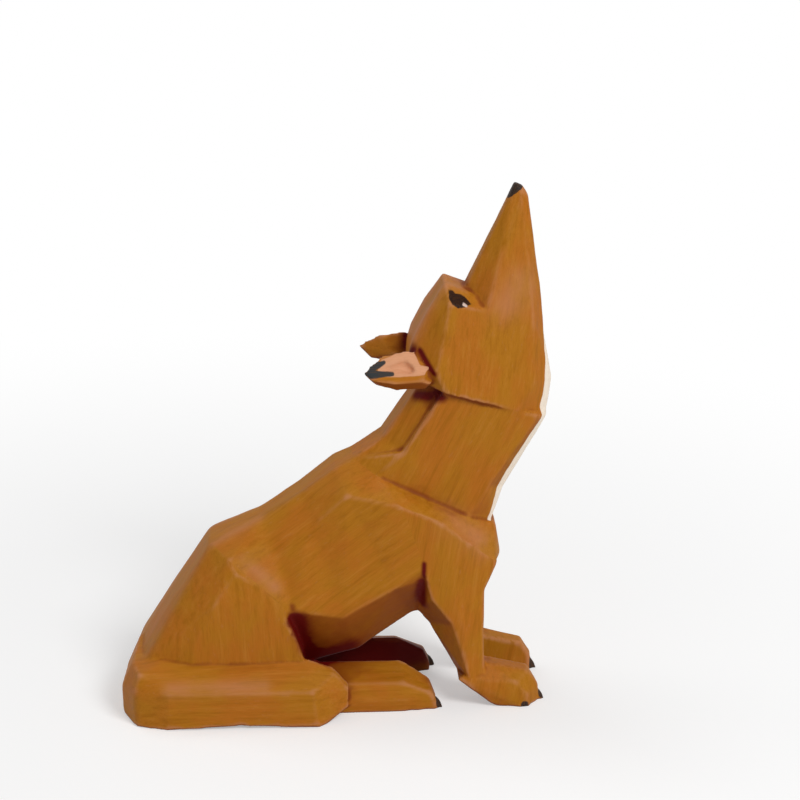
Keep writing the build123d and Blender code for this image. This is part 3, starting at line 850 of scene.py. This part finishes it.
def bare_wood(name):
    """Plain sawn wood, with rings and fibres, for pins and for the faces inside the joints."""
    n = Nodes(name)
    place = n.add("VectorMath", {0: n.add("TexCoord", output="Object"), "Scale": 1 / MM}, operation="SCALE")
    rings, fibres = n.noise(place, **BARE_RINGS), n.noise(place, **BARE_FIBRES)
    colour = n.mix(n.layer(rings, *BARE_RING_LAYER), BARE_WOOD, BARE_RING)
    colour = n.mix(n.layer(fibres, *BARE_FIBRE_LAYER), colour, BARE_FIBRE)
    return n.finish(colour, n.math("MULTIPLY_ADD", fibres, *BARE_ROUGHNESS), fibres, BARE_RELIEF)


# The stage: floor, light and camera.

CAMERA_AZIMUTH = math.radians(-4.0)
CAMERA_ELEVATION = math.radians(20.0)
CAMERA_DISTANCE = 0.700
CAMERA_TARGET = Vector((0.03725, 0.0, 0.0640))
CAMERA_SENSOR = 36.0
CAMERA_CLIP = (0.05, 20.0)
PIXELS_PER_METRE = 4900.0
FRAME_PIXELS = 800.0

# The floor is pale paper to the light. The camera sees a share of that with a glow: nearer than the first
# distance enough paper to keep the shadows, and beyond the second one only white.
FLOOR_SIZE = 8.0
FLOOR_NEAR = 0.06
FLOOR_FAR = 0.24
FLOOR_PAPER = 0.88
FLOOR_SHADOW = 0.66
FLOOR_GLOW = 0.37
KEY = {"place": (0.42, -0.60, 0.70), "size": 0.34, "power": 5.5}
SKY = {"place": (-0.43, 0.30, 0.80), "size": 0.60, "power": 1.8}
SURROUND = 0.32


def make_camera():
    """The camera that took the photo, as far as the photo tells."""
    data = bpy.data.cameras.new("camera")
    data.sensor_width = CAMERA_SENSOR
    data.lens = PIXELS_PER_METRE * CAMERA_DISTANCE / FRAME_PIXELS * CAMERA_SENSOR
    camera = bpy.data.objects.new("camera", data)
    bpy.context.scene.collection.objects.link(camera)
    back = Vector((math.sin(CAMERA_AZIMUTH) * math.cos(CAMERA_ELEVATION),
                   -math.cos(CAMERA_AZIMUTH) * math.cos(CAMERA_ELEVATION), math.sin(CAMERA_ELEVATION)))
    camera.location = CAMERA_TARGET + back * CAMERA_DISTANCE
    camera.rotation_mode = "QUATERNION"
    camera.rotation_quaternion = (-back).to_track_quat("-Z", "Y")
    data.clip_start, data.clip_end = CAMERA_CLIP
    bpy.context.scene.camera = camera


def make_lamp(name, place, size, power):
    """A square softbox that looks at the middle of the figure."""
    data = bpy.data.lights.new(name, "AREA")
    data.size = size
    data.energy = power
    lamp = bpy.data.objects.new(name, data)
    bpy.context.scene.collection.objects.link(lamp)
    lamp.location = place
    lamp.rotation_mode = "QUATERNION"
    lamp.rotation_quaternion = (CAMERA_TARGET - lamp.location).to_track_quat("-Z", "Y")


def seen_rays(tree):
    """1 for the rays that show the background: the camera's, and those that gloss or glass turns aside."""
    rays = tree.nodes.new("ShaderNodeLightPath")
    seen = rays.outputs["Is Camera Ray"]
    for kind in ("Is Glossy Ray", "Is Transmission Ray"):
        either = tree.nodes.new("ShaderNodeMath")
        either.operation = "MAXIMUM"
        tree.links.new(seen, either.inputs[0])
        tree.links.new(rays.outputs[kind], either.inputs[1])
        seen = either.outputs[0]
    return seen


def make_surround():
    """Soft light from all round, white where the camera or a gloss looks at it."""
    world = bpy.data.worlds.new("surround")
    bpy.context.scene.world = world
    world.use_nodes = True
    tree = world.node_tree
    background = tree.nodes["Background"]
    strength = tree.nodes.new("ShaderNodeMapRange")
    tree.links.new(seen_rays(tree), strength.inputs[0])
    strength.inputs[3].default_value = SURROUND
    strength.inputs[4].default_value = 1.0
    tree.links.new(strength.outputs[0], background.inputs["Strength"])
    background.inputs["Color"].default_value = WHITE


def make_floor():
    """A pale floor that keeps the figure's shadow and turns white further out."""
    half = FLOOR_SIZE / 2
    mesh = bpy.data.meshes.new("floor")
    corners = [(-half, -half, 0), (half, -half, 0), (half, half, 0), (-half, half, 0)]
    mesh.from_pydata(corners, [], [(0, 1, 2, 3)])
    floor = bpy.data.objects.new("floor", mesh)
    bpy.context.scene.collection.objects.link(floor)
    n = Nodes("floor")
    n.tree.nodes.remove(n.shader)
    place = n.add("TexCoord", output="Object")
    distance = n.add("VectorMath", {0: place}, operation="LENGTH", output="Value")
    near = n.ramp(distance, FLOOR_FAR, FLOOR_NEAR)
    seen = seen_rays(n.tree)
    less = n.math("MULTIPLY_ADD", near, FLOOR_SHADOW, -FLOOR_PAPER)
    glow = n.math("MULTIPLY_ADD", near, FLOOR_GLOW - 1, 1.0)
    paper = n.add("BsdfDiffuse", {"Color": n.math("MULTIPLY_ADD", seen, less, FLOOR_PAPER)})
    white = n.add("Emission", {"Color": WHITE, "Strength": n.math("MULTIPLY", seen, glow)})
    surface = n.add("AddShader", {0: paper, 1: white})
    n.tree.links.new(surface, n.tree.nodes["Material Output"].inputs["Surface"])
    mesh.materials.append(n.material)


# The making.

def skin_facts(skin):
    """What the glaze needs to know at each point of the skin."""
    hollow = hollows(skin)
    least, most = POOLED_SHADE_HOLLOW
    pooled_shade = nearness(skin.points, POOLED_STAIN_AND_SHADE) * np.clip((hollow - least) / (most - least), 0, 1)
    run_in_shade = nearness(skin.points, RUN_IN_STAIN_AND_SHADE)
    # A painted shadow over stain on the left hind foot, not mirrored.
    far_foot_shadow = nearness(skin.points, FAR_FOOT_SHADOW, AS_GIVEN)
    return {
        # The pale patches carry a painted sheen.
        "bend": bends(skin), "hollow": hollow, "milky_sheen": nearness(skin.points, MILKY_SHEEN),
        # Stain and painted shade along lines and beside them, and a painted shadow on the far hind foot.
        "stained_and_shaded": np.max([run_in_shade, pooled_shade, far_foot_shadow], axis=0),
        # How far each point faces down, for the painted shade of undersides.
        "down": np.maximum(-skin.normals[:, 2], 0),
    }


def make_figure():
    """The carved pieces on their common skin, and the materials of the pieces and pins."""
    points, faces = joined_skin()
    raw_skin = Skin(points.copy(), faces)
    skin = Skin(points, faces)
    carve(skin)
    facts = skin_facts(skin)
    solids = {name: Solid(name) for name in GRAIN}
    inside = bare_wood("bare_wood")
    looks = {look: glazed_wood(look, painted) for look, painted in LOOKS.items()}
    for name in GRAIN:
        piece = make_piece(name, solids, raw_skin, skin, facts)
        kind = name.split("_")[0]
        piece.data.materials[0] = looks[LOOK_OF_KIND.get(kind, PLAIN_LOOK)]
        piece.data.materials[1] = inside
    for name in PINS:
        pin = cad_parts[name].data
        pin.materials.clear()
        pin.materials.append(inside)


make_camera()
make_surround()
make_lamp("key", **KEY)
make_lamp("sky", **SKY)
make_floor()
make_figure()

bpy.context.scene.view_settings.view_transform = "Standard"
